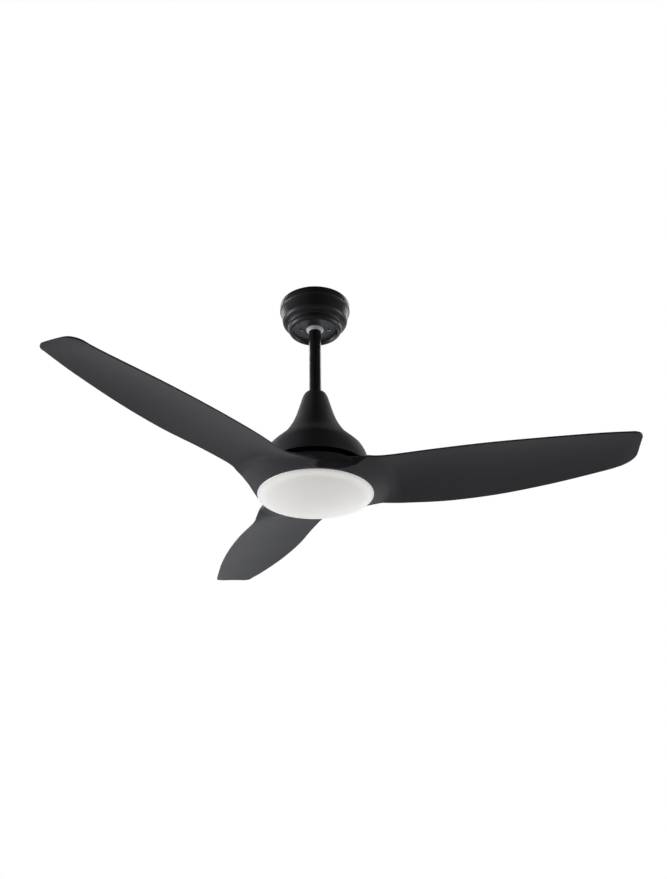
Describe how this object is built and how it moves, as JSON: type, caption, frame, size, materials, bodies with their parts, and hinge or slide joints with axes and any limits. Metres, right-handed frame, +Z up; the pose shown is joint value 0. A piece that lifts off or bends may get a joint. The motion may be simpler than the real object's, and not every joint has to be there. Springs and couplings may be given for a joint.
{
  "type": "ceiling fan with light",
  "caption": "Black ceiling fan with swept moulded blades on a short downrod, a trumpet-shaped motor cover and a shallow opal light under the hub.",
  "frame": {"origin": "middle of the hanger bracket's flat top face, where it meets the ceiling", "axes": "+Z up along the downrod; the fan hangs below z = 0; +X along the bracket's length"},
  "size_m": [1.1031, 1.1484, 0.5007],
  "materials": {
    "black_metal": "satin black powder coat",
    "housing_plastic": "matte charcoal",
    "blade_plastic": "satin black moulded plastic",
    "opal_diffuser": "satin opal white",
    "zinc_plate": "bright zinc plate",
    "steel": "machined",
    "white_nylon": "moulded",
    "lamination": "stacked sheet",
    "copper_wire": "enamelled wire",
    "ferrite": "sintered",
    "circuit_board": "solder mask",
    "led_panel": "white solder mask",
    "cable_sheath": "smooth"
  },
  "bodies": {
    "root": {"hanger_bracket": "zinc_plate", "canopy": "black_metal", "canopy_screw_1": "steel", "canopy_screw_2": "steel", "terminal_block": "white_nylon"},
    "key": {"registration_key": "zinc_plate"},
    "hanging": {"hanger_ball": "white_nylon", "ball_pin": "steel", "downrod": "black_metal", "yoke": "steel", "clevis_pin": "steel", "retaining_clip": "steel", "set_screw_1": "steel", "set_screw_2": "steel", "coupling_cover": "housing_plastic", "motor_housing": "housing_plastic", "housing_screw_1": "steel", "housing_screw_2": "steel", "housing_screw_3": "steel", "motor_top_plate": "steel", "motor_shaft": "steel", "stator_core": "lamination", "winding_upper": "copper_wire", "winding_lower": "copper_wire", "bearing_inner_upper": "steel", "bearing_inner_lower": "steel", "control_board": "circuit_board", "motor_capacitor": "cable_sheath", "supply_cable": "cable_sheath", "cable_connector": "white_nylon", "light_pan": "black_metal", "pan_nut": "steel", "led_board": "led_panel", "led_driver": "white_nylon", "led_standoff_1": "steel", "led_standoff_2": "steel", "led_standoff_3": "steel", "diffuser_catch_1": "steel", "diffuser_catch_2": "steel", "diffuser_catch_3": "steel"},
    "rotor": {"rotor_upper_shell": "black_metal", "rotor_lower_shell": "black_metal", "magnet_ring": "ferrite", "bearing_outer_upper": "steel", "bearing_outer_lower": "steel", "blade_1": "blade_plastic", "blade_2": "blade_plastic", "blade_3": "blade_plastic", "blade_1_screw_1": "steel", "blade_1_screw_2": "steel", "blade_2_screw_1": "steel", "blade_2_screw_2": "steel", "blade_3_screw_1": "steel", "blade_3_screw_2": "steel"},
    "light_cover": {"diffuser": "opal_diffuser", "diffuser_neck": "opal_diffuser"}
  },
  "joints": [
    {"name": "ball_tilt_side", "type": "hinge", "parent": "root", "child": "key", "pos_m": [0, 0, -0.051], "axis": [1, 0, 0], "range_deg": [-10, 10]},
    {"name": "ball_tilt_end", "type": "hinge", "parent": "key", "child": "hanging", "pos_m": [0, 0, -0.051], "axis": [0, 1, 0], "range_deg": [-10, 10]},
    {"name": "rotor_spin", "type": "hinge", "parent": "hanging", "child": "rotor", "pos_m": [0, 0, -0.422], "axis": [0, 0, 1], "continuous": true},
    {"name": "diffuser_twist", "type": "hinge", "parent": "hanging", "child": "light_cover", "pos_m": [0, 0, -0.47], "axis": [0, 0, 1], "range_deg": [0, 15]}
  ]
}
